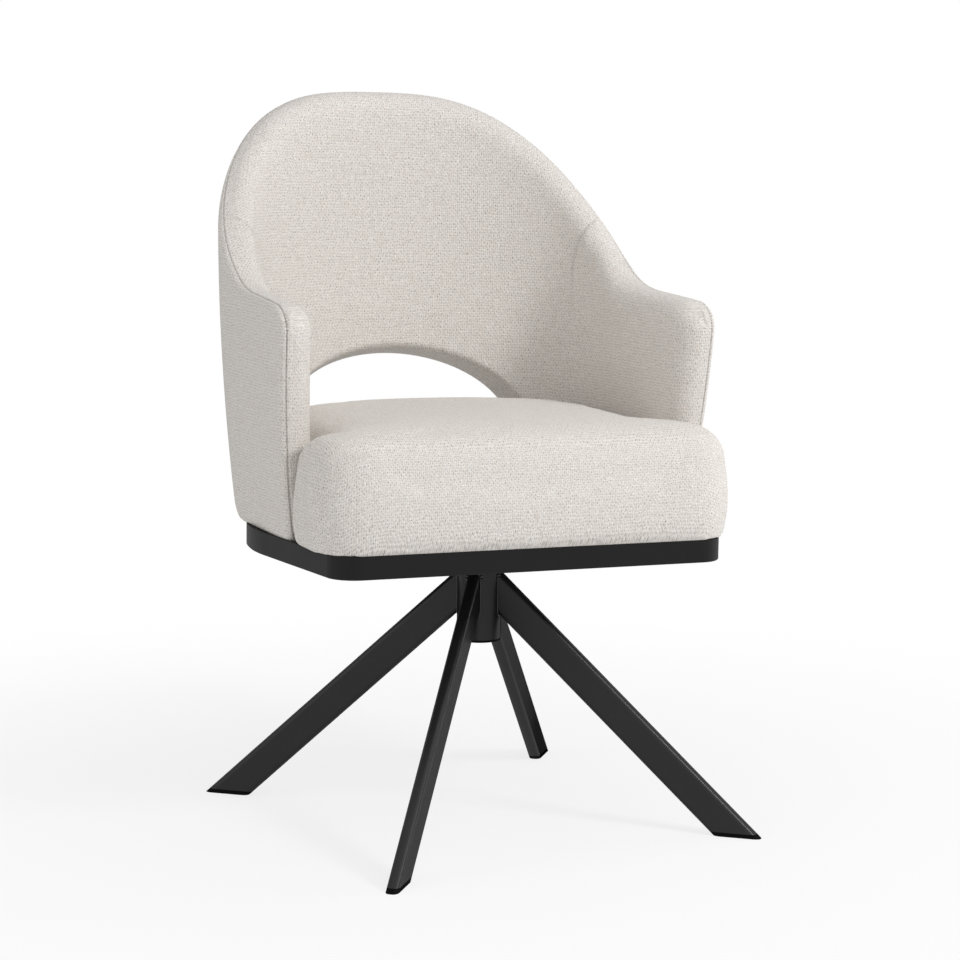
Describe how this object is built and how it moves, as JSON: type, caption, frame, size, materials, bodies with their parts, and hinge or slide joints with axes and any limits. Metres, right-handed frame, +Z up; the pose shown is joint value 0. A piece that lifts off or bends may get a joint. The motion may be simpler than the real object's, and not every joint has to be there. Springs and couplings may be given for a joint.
{
  "type": "swivel chair",
  "caption": "Upholstered tub chair with a half-moon opening low in the back, on a plinth that swivels over splayed rectangular-tube legs.",
  "frame": {"origin": "on the floor, on the swivel axis, in the middle of the feet", "axes": "+Z up along the swivel axis, the seat faces -Y at rest, +X to the left-hand side of a sitter"},
  "size_m": [0.5464, 0.6699, 0.8581],
  "materials": {
    "upholstery": "coarse off-white basket weave, matt",
    "black_metal": "black powder coat, satin",
    "black_board": "matt black lacquer",
    "plywood": "raw birch plywood",
    "black_plastic": "moulded, matt",
    "bearing_plastic": "natural acetal, smooth",
    "steel": "zinc plated"
  },
  "bodies": {
    "base": {"hub_tube": "black_metal", "leg_front_right": "black_metal", "leg_back_right": "black_metal", "leg_back_left": "black_metal", "leg_front_left": "black_metal", "foot_glide_front_right": "black_plastic", "foot_glide_back_right": "black_plastic", "foot_glide_back_left": "black_plastic", "foot_glide_front_left": "black_plastic", "upper_bush": "bearing_plastic", "lower_bush": "bearing_plastic", "hub_end_cap": "black_plastic", "bearing_lower_race": "steel"},
    "bearing_cage": {"ball_cage": "bearing_plastic", "bearing_balls": "steel"},
    "seat": {"bearing_upper_race": "steel", "spindle": "steel", "retaining_washer": "steel", "retaining_ring": "steel", "swivel_plate": "black_metal", "plate_bolts": "steel", "plate_washers": "steel", "tee_nuts": "steel", "plinth": "black_board", "seat_board": "plywood", "seat_cushion": "upholstery", "seat_screws": "steel", "tub_frame": "plywood", "tub_upholstery": "upholstery", "tub_screws": "steel"}
  },
  "joints": [
    {"name": "swivel", "type": "hinge", "parent": "base", "child": "seat", "pos_m": [0, 0, 0.316], "axis": [0, 0, 1], "continuous": true},
    {"name": "cage_turn", "type": "hinge", "parent": "base", "child": "bearing_cage", "pos_m": [0, 0, 0.312], "axis": [0, 0, 1], "continuous": true}
  ],
  "couplings": [
    {"joint": "cage_turn", "follows": "swivel", "ratio": 0.5}
  ]
}
